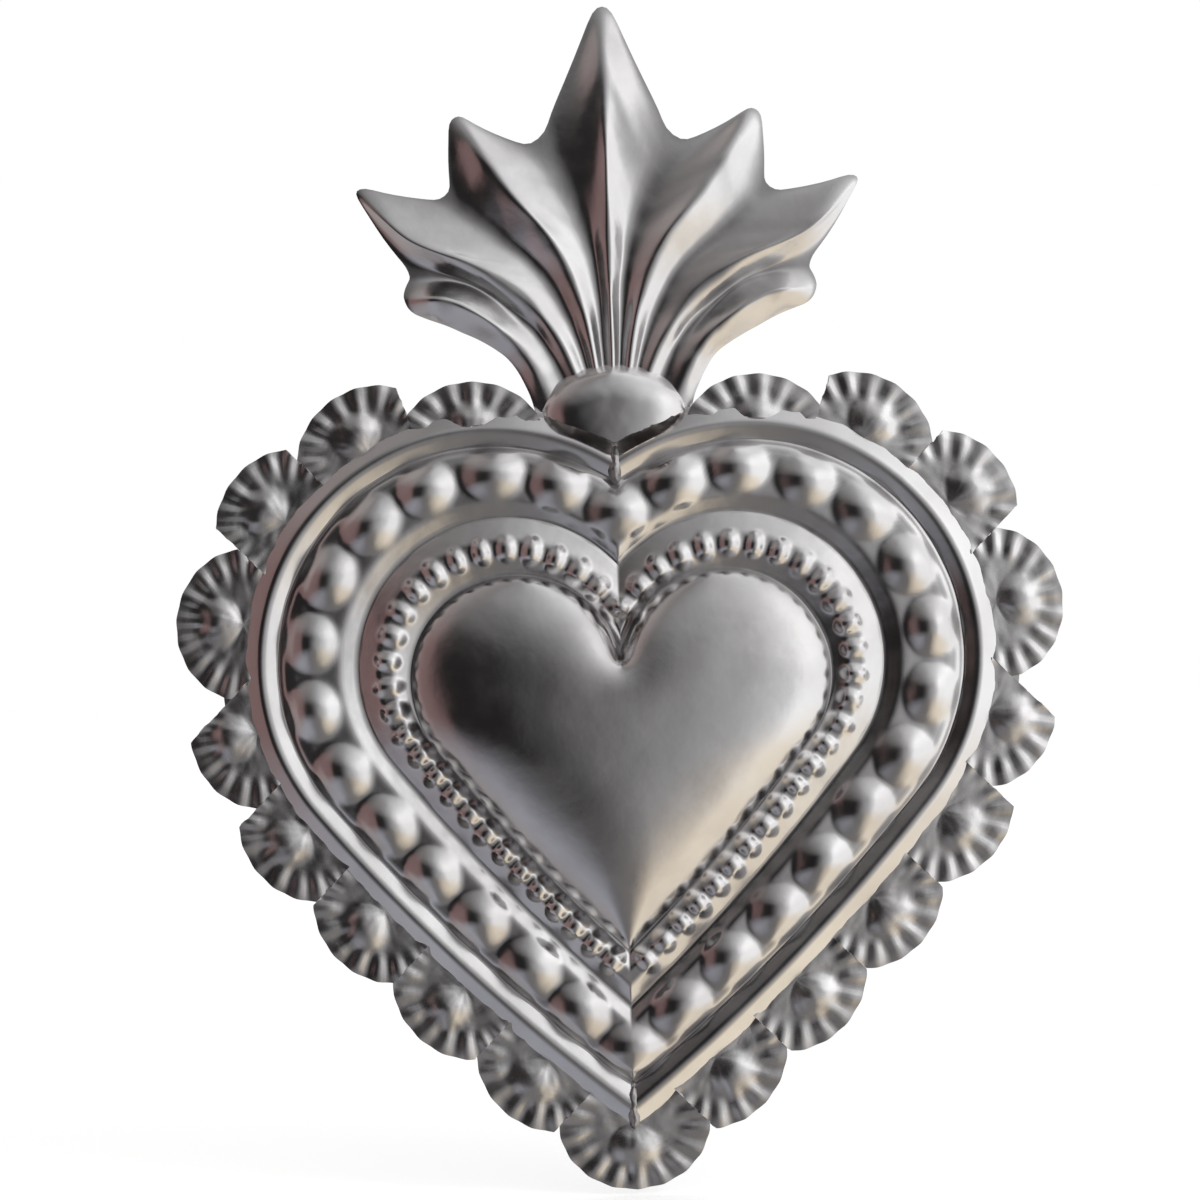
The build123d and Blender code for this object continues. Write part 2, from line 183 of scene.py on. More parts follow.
def between(low, high, share):
    """The heart that lies a share of the way from one to the other."""
    return Heart(
        low.half_width + (high.half_width - low.half_width) * share,
        low.lobe_top + (high.lobe_top - low.lobe_top) * share,
        low.cleft + (high.cleft - low.cleft) * share,
        low.tip + (high.tip - low.tip) * share,
    )


rim_line = Heart(38.3, 35.5, 32.0, -37.7)
rim_inner = Heart(34.7, 31.9, 27.9, -33.1)
middle_line = Heart(26.6, 24.7, 19.5, -25.1)
puff_line = Heart(21.3, 18.9, 9.2, -19.6)
margin_line = Heart(40.4, 36.1, 32.2, -40.6)
border_line = between(rim_line, rim_inner, -0.08)
bead_line = between(rim_inner, middle_line, 0.4)
seat_line = between(puff_line, middle_line, 0.02)
gadroon_line = between(middle_line, seat_line, 0.57)


def smooth(low, high, value):
    """Rises gently from 0 to 1 between two values."""
    share = min(max((value - low) / (high - low), 0.0), 1.0)
    return share * share * (3 - 2 * share)


def stepped(table, value):
    """Reads a smooth curve through a few points."""
    for (a, low), (b, high) in zip(table, table[1:]):
        if value <= b:
            return low + (high - low) * smooth(a, b, value)
    return table[-1][1]


def sloped(table, value):
    """Reads straight slopes between a few points."""
    for (a, low), (b, high) in zip(table, table[1:]):
        if value <= b:
            return low + (high - low) * (value - a) / (b - a)
    return table[-1][1]


def put_down():
    bpy.ops.object.select_all(action="DESELECT")


def take(piece):
    put_down()
    piece.select_set(True)
    bpy.context.view_layer.objects.active = piece


def started(name):
    piece = bpy.context.active_object
    piece.name = name
    piece.data.name = name
    return piece


def finish_with(piece, kind, **settings):
    """Puts one modifier on a piece and applies it."""
    take(piece)
    step = piece.modifiers.new(kind, kind)
    for key, value in settings.items():
        setattr(step, key, value)
    bpy.ops.object.modifier_apply(modifier=step.name)


def place(vertices, spots):
    for vertex, spot in zip(vertices, spots):
        vertex.co = Vector(spot) * MM


@contextmanager
def in_hand(piece):
    """Edit mode on one piece, with all of it selected."""
    take(piece)
    bpy.ops.object.mode_set(mode="EDIT")
    bpy.ops.mesh.select_all(action="SELECT")
    yield
    bpy.ops.object.mode_set(mode="OBJECT")


def merge_doubles(piece):
    with in_hand(piece):
        bpy.ops.mesh.remove_doubles(threshold=0.02 * MM)
        bpy.ops.mesh.normals_make_consistent(inside=False)


def cut(piece, spot, away, fill=False):
    """Cuts a piece along a plane through a spot and drops the side that the plane faces."""
    middle = [way * MM for way in spot]
    with in_hand(piece):
        bpy.ops.mesh.bisect(plane_co=middle, plane_no=away, clear_outer=True, use_fill=fill)


def face_front(piece):
    """Turns the faces of an open sheet to the front."""
    merge_doubles(piece)
    if sum(face.normal.y * face.area for face in piece.data.polygons) > 0:
        piece.data.flip_normals()


def thicken(piece, thickness=sheet):
    finish_with(piece, "SOLIDIFY", thickness=thickness * MM, offset=-1)


def dent(piece, size, depth):
    """Shallow dents from the hand work."""
    cloud = bpy.data.textures.new(piece.name + " dents", "CLOUDS")
    cloud.noise_scale = size * MM
    finish_with(piece, "DISPLACE", texture=cloud, strength=depth * MM, texture_coords="LOCAL")


def polish(piece, angle=50):
    take(piece)
    bpy.ops.object.shade_smooth_by_angle(angle=radians(angle))


def copied(model, name, matrix):
    """A copy of a piece, with its own mesh, moved to its place."""
    twin = model.copy()
    twin.data = model.data.copy()
    twin.name = name
    twin.data.name = name
    bpy.context.collection.objects.link(twin)
    twin.data.transform(matrix)
    return twin


def joined(pieces, name):
    take(pieces[0])
    for piece in pieces:
        piece.select_set(True)
    bpy.ops.object.join()
    return started(name)


def raise_rings(name, rings, to_point):
    """A sheet raised ring by ring from a circle that is laid on its outline."""
    put_down()
    bpy.ops.mesh.primitive_circle_add(vertices=len(rings[0]), radius=rim_line.half_width * MM)
    piece = started(name)
    place(piece.data.vertices, rings[0])
    for ring in rings[1:]:
        bpy.ops.object.mode_set(mode="EDIT")
        bpy.ops.mesh.extrude_region()
        bpy.ops.object.mode_set(mode="OBJECT")
        place(list(piece.data.vertices)[-len(ring) :], ring)
    bpy.ops.object.mode_set(mode="EDIT")
    if to_point:
        bpy.ops.mesh.merge(type="CENTER")
    else:
        bpy.ops.mesh.edge_face_add()
    bpy.ops.object.mode_set(mode="OBJECT")
    return piece


def heart_ring(heart, height):
    return [(x, -height, z) for x, z in heart.outline()]


def punch(piece, x, z, angle, along, across, height):
    """Drives a dome out of the sheet from behind; across lies along the angle."""
    for vertex in piece.data.vertices:
        dx = vertex.co.x / MM - x
        dz = vertex.co.z / MM - z
        if abs(dx) > punch_reach or abs(dz) > punch_reach:
            continue
        u = (dx * cos(angle) + dz * sin(angle)) / across
        v = (dz * cos(angle) - dx * sin(angle)) / along
        way = u * u + v * v
        if way < 1:
            vertex.co.y -= height * MM * (1 - way) ** punch_roundness


def down_both_sides(heart, runs):
    """Places along the right half and, mirrored, along the left: x, z and the outward angle."""
    spots = []
    for run in runs:
        x, z = heart.point(run)
        angle = heart.normal(run)
        spots += [(x, z, angle), (-x, z, pi - angle)]
    return spots


# Channel with its large beads, raised from the base sheet
channel_rise = [
    (0.0, 0.42),
    (0.08, 0.95),
    (0.2, 1.12),
    (0.72, 1.25),
    (0.78, 1.2),
    (0.97, 0.42),
    (1.0, 0.4),
]


def base_sheet():
    """The flat sheet under the rim, the channel with its beads, and the middle behind the hearts."""
    rings = [heart_ring(margin_line, sheet - 0.1)]
    for share in (-0.06, 0.3, 0.7, 0.95):
        rings.append(heart_ring(between(rim_line, rim_inner, share), sheet))
    for k in range(rings_across + 1):
        share = k / rings_across
        heart = between(rim_inner, middle_line, share)
        rings.append(heart_ring(heart, sloped(channel_rise, share)))
    rings.append(heart_ring(between(middle_line, puff_line, 0.3), sheet))
    piece = raise_rings("pressed_sheet", rings, to_point=False)
    face_front(piece)
    step = bead_line.run / (beads_per_side + 1)
    spots = down_both_sides(bead_line, [step * (k + 1) for k in range(beads_per_side)])
    spots.append((0, bead_line.cleft + cleft_bead_rise, pi / 2))
    spots.append((0, bead_line.tip + tip_bead_rise, pi / 2))
    for x, z, angle in spots:
        width = bead_across * chance.uniform(*bead_spread)
        length = bead_along * chance.uniform(*bead_spread)
        x += chance.uniform(-bead_stray, bead_stray)
        z += chance.uniform(-bead_stray, bead_stray)
        punch(piece, x, z, angle, length, width, bead_height * chance.uniform(*bead_height_spread))
    dent(piece, size=5, depth=0.16)
    thicken(piece)
    return piece


def scallop_height(x, z):
    """Height of the fluted fan at a place, with the fan's middle at the origin and its edge along +X."""
    out = hypot(x, z)
    angle = atan2(z, x)
    fade = 1 - flute_fade * smooth(flute_fade_start, scallop_radius, out)
    ramp = smooth(flute_start, flute_full, out) * fade
    turn = flutes_round * angle / (2 * pi)
    wave = abs(2 * (turn - floor(turn)) - 1)
    knob = max(1 - ((x - knob_out) ** 2 + z * z) / knob_radius**2, 0) ** knob_roundness
    return sheet + scallop_lift + flute_height * ramp * wave + knob_height * knob


def fluted_fan():
    """One scallop of the border: a disc with a knob and a ring of flutes."""
    radii = [scallop_radius, 6.55, 6.2, 5.8, 5.3, 4.8, 4.3, 3.8, 3.4]
    radii += [3.0, 2.6, 2.2, 1.8, 1.4, 1.0, 0.6, 0.3]
    count = flutes_round * steps_per_flute
    rings = []
    for radius in radii:
        ring = []
        for k in range(count):
            angle = 2 * pi * k / count
            edge = 1 - flute_edge * smooth(5.0, scallop_radius, radius) * (1 - cos(flutes_round * angle))
            x = radius * edge * cos(angle)
            z = radius * edge * sin(angle)
            ring.append((x, -scallop_height(x, z), scallop_stretch * z))
        rings.append(ring)
    fan = raise_rings("fan", rings, to_point=True)
    face_front(fan)
    return fan


def scalloped_border():
    """Nineteen fans round the heart, each cut off at its neighbours and under the rim."""
    first = border_line.lobe_r * (border_line.start - radians(scallop_start))
    step = (border_line.run - first) / scallops_per_side
    feet = []
    for k, tuck in enumerate(scallop_tucks):
        x, z = border_line.point(first + k * step)
        feet.append((x, z, border_line.normal(first + k * step), tuck))
    feet.append((0.0, border_line.tip, -pi / 2, tip_tuck))
    feet += [(-x, z, pi - angle, tuck) for x, z, angle, tuck in feet[-2::-1]]
    middles = [(x - tuck * cos(angle), z - tuck * sin(angle)) for x, z, angle, tuck in feet]
    fan = fluted_fan()
    pieces = []
    for k, (x, z, angle, tuck) in enumerate(feet):
        spot = middles[k]
        turn = angle + radians(chance.uniform(-scallop_turn, scallop_turn))
        matrix = Matrix.Translation((spot[0] * MM, 0, spot[1] * MM)) @ Matrix.Rotation(-turn, 4, "Y")
        piece = copied(fan, "scallop", matrix)
        under = tip_under if x == 0 else scallop_under
        cut(piece, (x - under * cos(angle), 0, z - under * sin(angle)), (-cos(angle), 0, -sin(angle)))
        for near in (k - 1, k + 1):
            if 0 <= near < len(middles):
                other = middles[near]
                half = ((spot[0] + other[0]) / 2, 0, (spot[1] + other[1]) / 2)
                cut(piece, half, (other[0] - spot[0], 0, other[1] - spot[1]))
        pieces.append(piece)
    bpy.data.objects.remove(fan)
    border_piece = joined(pieces, "scalloped_border")
    dent(border_piece, size=2.4, depth=0.4)
    dent(border_piece, size=1.1, depth=0.1)
    thicken(border_piece, scallop_sheet)
    return border_piece


# Rim mouldings: a roof of folded tin with a broad outer slope, turned round the lobe and then down the side
rim_rise = [
    (-1.8, 0.0),
    (-1.7, 0.16),
    (-0.45, 0.95),
    (-0.22, 1.05),
    (0.0, 1.03),
    (0.15, 0.97),
    (1.68, 0.0),
    (1.8, 0.0),
]


def rim_half():
    """The right half, past the middle at both ends until the mitre cuts it."""
    x, z = rim_line.point(-rim_overrun)
    angle = rim_line.normal(-rim_overrun)
    middle = (x - rim_width / 2 * cos(angle), z - rim_width / 2 * sin(angle))
    put_down()
    bpy.ops.mesh.primitive_circle_add(vertices=rim_points, radius=rim_width / 2 * MM)
    rim = started("rim_right_rolled")
    # Half of the circle stays, as a strip of points from edge to edge
    cut(rim, (0, -0.01, 0), (0, -1, 0))
    for vertex in rim.data.vertices:
        out = vertex.co.x
        rise = (sheet - rim_seat + sloped(rim_rise, out / MM)) * MM
        x = middle[0] * MM + out * cos(angle)
        z = middle[1] * MM + out * sin(angle)
        vertex.co = Vector((x, -rise, z))
    with in_hand(rim):
        bpy.ops.mesh.spin(
            steps=rim_turns,
            angle=rim_line.start + rim_overrun / rim_line.lobe_r - rim_line.turn,
            center=(rim_line.lobe_x * MM, 0, rim_line.lobe_z * MM),
            axis=(0, -1, 0),
        )
        bpy.ops.mesh.spin(
            steps=rim_turns,
            angle=rim_line.turn - rim_line.end + rim_overrun / side_radius,
            center=(rim_line.side_x * MM, 0, rim_line.side_z * MM),
            axis=(0, -1, 0),
        )
    face_front(rim)
    dent(rim, size=12, depth=0.3)
    cut(rim, (mitre_gap / 2, 0, 0), (-1, 0, 0))
    thicken(rim, rim_sheet)
    return rim


def rims():
    right = rim_half()
    left = copied(right, "rim_left_rolled", Matrix.Scale(-1, 4, (1, 0, 0)))
    left.data.flip_normals()
    return right, left


def solder_lump(name, z, width, length, height):
    """A dull, lumpy run of solder on the line of symmetry."""
    put_down()
    bpy.ops.mesh.primitive_uv_sphere_add(segments=40, ring_count=24, radius=MM)
    lump = started(name)
    for vertex in lump.data.vertices:
        across, along, out = vertex.co
        vertex.co = Vector((across * width, -sheet * MM - out * height, z * MM + along * length))
    merge_doubles(lump)
    dent(lump, size=1.2, depth=0.5)
    cut(lump, (0, -solder_back, 0), (0, 1, 0), fill=True)
    return lump


# Middle heart: a raised band with a bright edge and a row of gadroons, round the seat
band_rise = [
    (0.0, 0.42),
    (0.03, 0.55),
    (0.36, 1.5),
    (0.43, 1.6),
    (0.68, 1.6),
    (0.74, 1.5),
    (0.98, 0.86),
    (1.0, 0.84),
]


def middle_heart():
    """The raised band with its gadroons, closed by the seat."""
    rings = []
    for k in range(rings_across + 1):
        share = k / rings_across
        rings.append(heart_ring(between(middle_line, seat_line, share), sloped(band_rise, share)))
    rings.append(heart_ring(between(middle_line, puff_line, 1.12), seat_height))
    piece = raise_rings("middle_heart_raised", rings, to_point=False)
    face_front(piece)
    step = gadroon_line.run / (gadroons_per_side + 0.5)
    runs = [step * (k + 0.6) for k in range(gadroons_per_side)]
    for x, z, angle in down_both_sides(gadroon_line, runs):
        width = gadroon_across * chance.uniform(*gadroon_spread)
        length = gadroon_along * chance.uniform(*gadroon_spread)
        punch(piece, x, z, angle, length, width, gadroon_height * chance.uniform(*gadroon_height_spread))
    dent(piece, size=4, depth=0.12)
    thicken(piece)
    return piece


def eased(outline, reach):
    """An outline with its corners eased: each point moves to the mean of its neighbours within reach."""
    count = len(outline)
    points = []
    for k in range(count):
        near = [outline[(k + step) % count] for step in range(-reach, reach + 1)]
        points.append((sum(x for x, z in near) / len(near), sum(z for x, z in near) / len(near)))
    return points


def puffed_heart():
    """The smooth heart, raised in rings whose corners ease off towards the middle."""
    shares = [1.0, 0.992, 0.98, 0.965, 0.945, 0.92, 0.89, 0.855, 0.815, 0.77, 0.72, 0.665, 0.605]
    shares += [0.54, 0.47, 0.4, 0.33, 0.26, 0.19, 0.12, 0.06]
    rings = []
    outline = puff_line.outline()
    for share in shares:
        rise = seat_height + puff_height * (1 - share**puff_fullness) ** puff_edge
        reach = round(puff_easing * (1 - share) ** puff_easing_power)
        ring = []
        for x, z in eased(outline, reach):
            ring.append((x * share, -rise, puff_middle + (z - puff_middle) * share))
        rings.append(ring)
    piece = raise_rings("puffed_heart_raised", rings, to_point=True)
    face_front(piece)
    dent(piece, size=16, depth=0.5)
    thicken(piece)
    return piece


# Flame crown: ridges run out to the leaf points and valleys to the notches between them.
# Each line goes from the palm outward: places across and up.
ridge_top = [(0.0, 38.0), (0.0, 48.0), (0.0, 62.0), (0.0, 76.3)]
valley_top = [(0.7, 38.0), (1.4, 48.5), (2.7, 54.3), (6.4, 61.9)]
ridge_upper = [(1.5, 38.0), (2.8, 45.5), (5.5, 52.1), (10.3, 58.0), (15.2, 65.4)]
valley_upper = [(2.2, 38.0), (4.0, 44.0), (6.5, 48.8), (10.3, 52.5), (15.9, 56.9)]
ridge_middle = [(3.4, 38.0), (5.2, 42.3), (8.8, 47.0), (13.8, 50.2), (20.5, 53.0), (25.5, 58.2)]
valley_middle = [(4.7, 37.6), (6.4, 41.4), (8.8, 44.4), (13.7, 48.3), (19.9, 49.6)]
ridge_lower = [(6.4, 36.4), (8.2, 40.2), (10.7, 43.3), (16.0, 46.5), (20.8, 46.8)]
edge_lower = [(8.0, 34.6), (8.7, 37.2), (10.8, 40.7), (15.2, 43.3), (19.3, 45.3)]
# Places where a leaf's edge swells between its point and its notch
edge_top = [(2.0, 73.2), (4.1, 68.4), (5.6, 65.3)]
edge_upper_in = [(13.2, 64.6), (11.3, 63.6), (8.9, 62.6)]
edge_upper_out = [(15.9, 63.2), (16.05, 61.0), (15.95, 58.8)]
edge_middle_in = [(22.8, 57.9), (20.4, 57.4), (18.1, 57.1)]
edge_middle_out = [(24.4, 55.9), (22.9, 53.3), (21.3, 51.2)]
edge_lower_in = [(20.95, 47.4), (20.8, 48.1), (20.4, 48.9)]
edge_lower_out = [(20.6, 46.3), (20.3, 45.9), (19.9, 45.6)]
crown_rows = 48
# Shares of a leaf's length between which its round fold turns into a sharp one
fold_sharpens = (0.25, 0.7)
# How far the shoulders of a leaf's point are pushed out to blunt it
blunt_top = 1.0
blunt_upper = 0.6
blunt_middle = 0.65
blunt_lower = 0.0


def along_line(line, share):
    """A place on a line, by a share of its length, rounded through its points."""
    spans = [hypot(b[0] - a[0], b[1] - a[1]) for a, b in zip(line, line[1:])]
    way = share * sum(spans)
    k = 0
    while k < len(spans) - 1 and way > spans[k]:
        way -= spans[k]
        k += 1
    t = min(way / spans[k], 1.0)
    before = line[max(k - 1, 0)]
    a = line[k]
    b = line[k + 1]
    after = line[min(k + 2, len(line) - 1)]
    spot = []
    for p0, p1, p2, p3 in zip(before, a, b, after):
        bend = 2 * p1 + (p2 - p0) * t + (2 * p0 - 5 * p1 + 4 * p2 - p3) * t * t
        spot.append((bend + (3 * p1 - p0 - 3 * p2 + p3) * t**3) / 2)
    return spot


ridge_rise = [(0.0, 0.7), (0.25, 1.1), (0.6, 2.3), (0.8, 2.2), (1.0, 0.55)]
valley_rise = [(0.0, 0.15), (0.3, 0.1), (0.7, 0.1), (1.0, 0.25)]


def leaf_slope(ridge, valley, swell, blunt):
    """The lines of one slope, from its ridge to its valley; blunt widens the leaf's point."""
    ways = [0.0, 0.1, 0.25, 0.5, 0.75, 0.9]
    ends = [ridge[-1], None, swell[0], swell[1], swell[2], None]
    lines = []
    for way, end in zip(ways, ends):
        if end is None:
            end = edge_between(ridge, swell, valley[-1], way, blunt)
        straight_x = ridge[-1][0] + (valley[-1][0] - ridge[-1][0]) * way
        straight_z = ridge[-1][1] + (valley[-1][1] - ridge[-1][1]) * way
        line = []
        for row in range(crown_rows + 1):
            share = row / crown_rows
            rx, rz = along_line(ridge, share)
            vx, vz = along_line(valley, share)
            pull = share**3
            x = rx + (vx - rx) * way + (end[0] - straight_x) * pull
            z = rz + (vz - rz) * way + (end[1] - straight_z) * pull
            top = stepped(ridge_rise, share)
            low = stepped(valley_rise, share)
            round_fold = 0.5 + 0.5 * cos(pi * way)
            flat_fold = 1 - way
            fold = round_fold + (flat_fold - round_fold) * smooth(*fold_sharpens, share)
            line.append((x, z, low + (top - low) * fold))
        lines.append(line)
    return lines


def edge_between(ridge, swell, notch, way, blunt):
    """A place on a leaf's edge between its point, its swell and its notch."""
    if way < 0.2:
        point = Vector(ridge[-1])
        return (point + Vector(swell[0])) / 2 + blunt * (point - Vector(ridge[-2])).normalized()
    return ((notch[0] + swell[2][0]) / 2, (notch[1] + swell[2][1]) / 2)


def flame_crown():
    slopes = [
        leaf_slope(ridge_top, valley_top, edge_top, blunt_top),
        leaf_slope(ridge_upper, valley_top, edge_upper_in, blunt_upper)[::-1],
        leaf_slope(ridge_upper, valley_upper, edge_upper_out, blunt_upper),
        leaf_slope(ridge_middle, valley_upper, edge_middle_in, blunt_middle)[::-1],
        leaf_slope(ridge_middle, valley_middle, edge_middle_out, blunt_middle),
        leaf_slope(ridge_lower, valley_middle, edge_lower_in, blunt_lower)[::-1],
        leaf_slope(ridge_lower, edge_lower, edge_lower_out, blunt_lower),
    ]
    right = []
    for k, slope in enumerate(slopes):
        right += slope[:-1] if k % 2 == 1 else slope
    lines = [[(-x, z, rise) for x, z, rise in line] for line in right[:0:-1]] + right
    put_down()
    bpy.ops.mesh.primitive_grid_add(
        x_subdivisions=crown_rows, y_subdivisions=len(lines) - 1, size=50 * MM
    )
    piece = started("flame_crown_raised")
    spots = [(x, -rise, z) for line in lines for x, z, rise in line]
    place(piece.data.vertices, spots)
    face_front(piece)
    dent(piece, size=5, depth=0.35)
    finish_with(piece, "SUBSURF", levels=1, render_levels=1)
    thicken(piece)
    return piece


def crown_boss():
    """The round dome over the joint, cut to sit in the rim's cleft."""
    put_down()
    bpy.ops.mesh.primitive_uv_sphere_add(segments=96, ring_count=48, radius=MM)
    boss = started("crown_boss_raised")
    for vertex in boss.data.vertices:
        out = min(hypot(vertex.co.x, vertex.co.y) / MM, 1.0)
        rise = copysign(boss_height * (1 - out**boss_fullness) ** boss_edge, vertex.co.z) * MM
        high = boss_up if vertex.co.y > 0 else boss_down
        vertex.co = Vector((vertex.co.x * boss_half_width, -rise, boss_middle * MM + vertex.co.y * high))
    merge_doubles(boss)
    for side in (1, -1):
        cut(boss, (0, 0, boss_cleft), (side * boss_cleft_slope, 0, -1))
    cut(boss, (0, -boss_back, 0), (0, 1, 0))
    face_front(boss)
    dent(boss, size=4, depth=0.2)
    thicken(boss)
    return boss


def hanging_loop():
    """Bent wire: a round section pushed along the bar and turned round each bend."""
    put_down()
    bar_end = wire_end_gap / 2
    start = Matrix.Translation((bar_end * MM, bar_y * MM, bar_z * MM)) @ Matrix.Rotation(pi / 2, 4, "Y")
    bpy.ops.mesh.primitive_circle_add(vertices=24, radius=wire_radius * MM, fill_type="NGON")
    loop = started("hanging_loop_bent")
    loop.data.transform(start)
    leg_top = bar_z - loop_corner
    leg_end = leg_top - loop_leg

    def push(x, z):
        bpy.ops.mesh.extrude_region_move(TRANSFORM_OT_translate={"value": (x * MM, 0, z * MM)})

    def bend(x, z, angle, steps):
        bpy.ops.mesh.spin(
            steps=steps,
            angle=angle,
            center=(x * MM, bar_y * MM, z * MM),
            axis=(0, -1, 0),
        )

    with in_hand(loop):
        push(bar_half - bar_end, 0)
        bend(bar_half, leg_top, pi / 2, 12)
        push(0, -loop_leg)
        bend(0, leg_end, pi, 36)
        push(0, loop_leg)
        bend(-bar_half, leg_top, pi / 2, 12)
        push(bar_half - bar_end, 0)
    merge_doubles(loop)
    return loop


def noise(nodes, links, place_on, scale, detail):
    texture = nodes.new("ShaderNodeTexNoise")
    texture.inputs["Scale"].default_value = scale
    texture.inputs["Detail"].default_value = detail
    links.new(place_on.outputs["Object"], texture.inputs["Vector"])
    return texture


def tin(name, colour, dark, rough, grain):
    """Bright tin with cloudy tarnish, smears and a slightly uneven skin."""
    finish = bpy.data.materials.new(name)
    finish.use_nodes = True
    nodes = finish.node_tree.nodes
    links = finish.node_tree.links
    shader = nodes["Principled BSDF"]
    shader.inputs["Metallic"].default_value = 1.0
    place_on = nodes.new("ShaderNodeTexCoord")
    cloud = noise(nodes, links, place_on, scale=90, detail=6)
    cloud.inputs["Roughness"].default_value = 0.6
    tone = nodes.new("ShaderNodeValToRGB")
    tone.color_ramp.elements[0].position = 0.35
    tone.color_ramp.elements[0].color = (*dark, 1)
    tone.color_ramp.elements[1].position = 0.62
    tone.color_ramp.elements[1].color = (*colour, 1)
    links.new(cloud.outputs["Fac"], tone.inputs["Fac"])
    links.new(tone.outputs["Color"], shader.inputs["Base Color"])
    smear = noise(nodes, links, place_on, scale=320, detail=4)
    dull = nodes.new("ShaderNodeMapRange")
    dull.inputs["From Min"].default_value = 0.3
    dull.inputs["From Max"].default_value = 0.7
    dull.inputs["To Min"].default_value = rough * 0.75
    dull.inputs["To Max"].default_value = rough * 1.35
    links.new(smear.outputs["Fac"], dull.inputs["Value"])
    links.new(dull.outputs["Result"], shader.inputs["Roughness"])
    skin = noise(nodes, links, place_on, scale=420, detail=3)
    bump = nodes.new("ShaderNodeBump")
    bump.inputs["Strength"].default_value = grain
    bump.inputs["Distance"].default_value = 0.0004
    links.new(skin.outputs["Fac"], bump.inputs["Height"])
    links.new(bump.outputs["Normal"], shader.inputs["Normal"])
    return finish


def paint(piece, finish):
    piece.data.materials.clear()
    piece.data.materials.append(finish)


bright_tin = tin("bright tin", (0.88, 0.87, 0.87), (0.76, 0.74, 0.74), rough=0.19, grain=0.08)
rolled_tin = tin("rolled tin trim", (0.9, 0.89, 0.89), (0.8, 0.78, 0.78), rough=0.17, grain=0.05)
drawn_wire = tin("tinned wire", (0.72, 0.71, 0.70), (0.6, 0.59, 0.58), rough=0.25, grain=0.05)
crimped_tin = tin("crimped tin", (0.92, 0.91, 0.91), (0.8, 0.78, 0.78), rough=0.27, grain=0.1)
grey_solder = tin("grey solder", (0.55, 0.54, 0.54), (0.4, 0.39, 0.39), rough=0.4, grain=0.3)

for node, finish in {
    "hanger_strap": rolled_tin,
    "crown_solder": grey_solder,
    "strap_solder_upper": grey_solder,
    "strap_solder_lower": grey_solder,
}.items():
    paint(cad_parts[node], finish)

pressed_sheet = base_sheet()
border = scalloped_border()
rim_right, rim_left = rims()
solder_cleft = solder_lump("solder_cleft_run", z=29.7, width=0.8, length=2.0, height=1.2)
solder_tip = solder_lump("solder_tip_run", z=-35.4, width=0.7, length=2.2, height=1.15)
raised_band = middle_heart()
puffed = puffed_heart()
crown = flame_crown()
boss = crown_boss()
loop = hanging_loop()

for piece, node, finish, material_slot in (
    (pressed_sheet, "heart_sheet", bright_tin, "tin"),
    (border, "heart_sheet", crimped_tin, "tin"),
    (rim_right, "rim_right", rolled_tin, "tin_trim"),
    (rim_left, "rim_left", rolled_tin, "tin_trim"),
    (solder_cleft, "rim_solder_cleft", grey_solder, "solder"),
    (solder_tip, "rim_solder_tip", grey_solder, "solder"),
    (raised_band, "middle_heart", bright_tin, "tin"),
    (puffed, "puffed_heart", bright_tin, "tin"),
    (crown, "flame_crown", bright_tin, "tin"),
    (boss, "crown_boss", rolled_tin, "tin"),
    (loop, "hanging_loop", drawn_wire, "wire"),
):
    polish(piece)
    paint(piece, finish)
    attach(piece, "loop" if node == "hanging_loop" else "ornament")
    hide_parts(node)


# Camera: its place in millimetres and its roll in degrees
camera_spot = (-1.94, -338.0, 16.06)
camera_roll = 1.68

# The stage: places and sizes in metres, and strengths of light
floor_level = -0.0442
floor_lift = 0.46
room_radius = 0.22
ceiling_levels = (0.085, 0.175)
ground_levels = (-0.05, -0.135)
lamp_spot = (0.5, -0.4, 0.35)
lamp_aim = (0, 0, 0.015)
sky_light = 0.6

# Tones of the room by the angle from straight ahead: right side positive, behind at 180
wall_tones = [
    (-90, (0.36, 0.3, 0.29)),
    (-76, (0.21, 0.14, 0.135)),
    (-61, (0.19, 0.122, 0.12)),
    (-51, (0.016, 0.015, 0.015)),
    (-26, (0.016, 0.015, 0.015)),
    (-11, (0.08, 0.078, 0.08)),
    (0, (0.17, 0.166, 0.167)),
    (12, (0.28, 0.278, 0.28)),
    (28, (0.4, 0.398, 0.4)),
    (42, (0.58, 0.58, 0.585)),
    (54, (0.97, 0.97, 0.97)),
    (120, (1.0, 1.0, 1.0)),
    (160, (0.45, 0.45, 0.45)),
    (220, (0.35, 0.34, 0.34)),
    (265, (0.36, 0.3, 0.29)),
]
ceiling_tones = [
    (-90, (0.36, 0.33, 0.32)),
    (-40, (0.21, 0.2, 0.2)),
    (-10, (0.3, 0.3, 0.305)),
    (30, (0.58, 0.58, 0.59)),
    (70, (0.8, 0.8, 0.81)),
    (150, (0.7, 0.7, 0.7)),
    (220, (0.4, 0.39, 0.39)),
    (265, (0.36, 0.33, 0.32)),
]
ground_tones = [
    (-90, (0.32, 0.3, 0.3)),
    (-60, (0.32, 0.33, 0.37)),
    (-25, (0.16, 0.155, 0.16)),
    (10, (0.17, 0.162, 0.155)),
    (32, (0.5, 0.44, 0.36)),
    (55, (0.85, 0.76, 0.62)),
    (120, (0.8, 0.73, 0.62)),
    (180, (0.4, 0.39, 0.38)),
    (265, (0.32, 0.3, 0.3)),
]


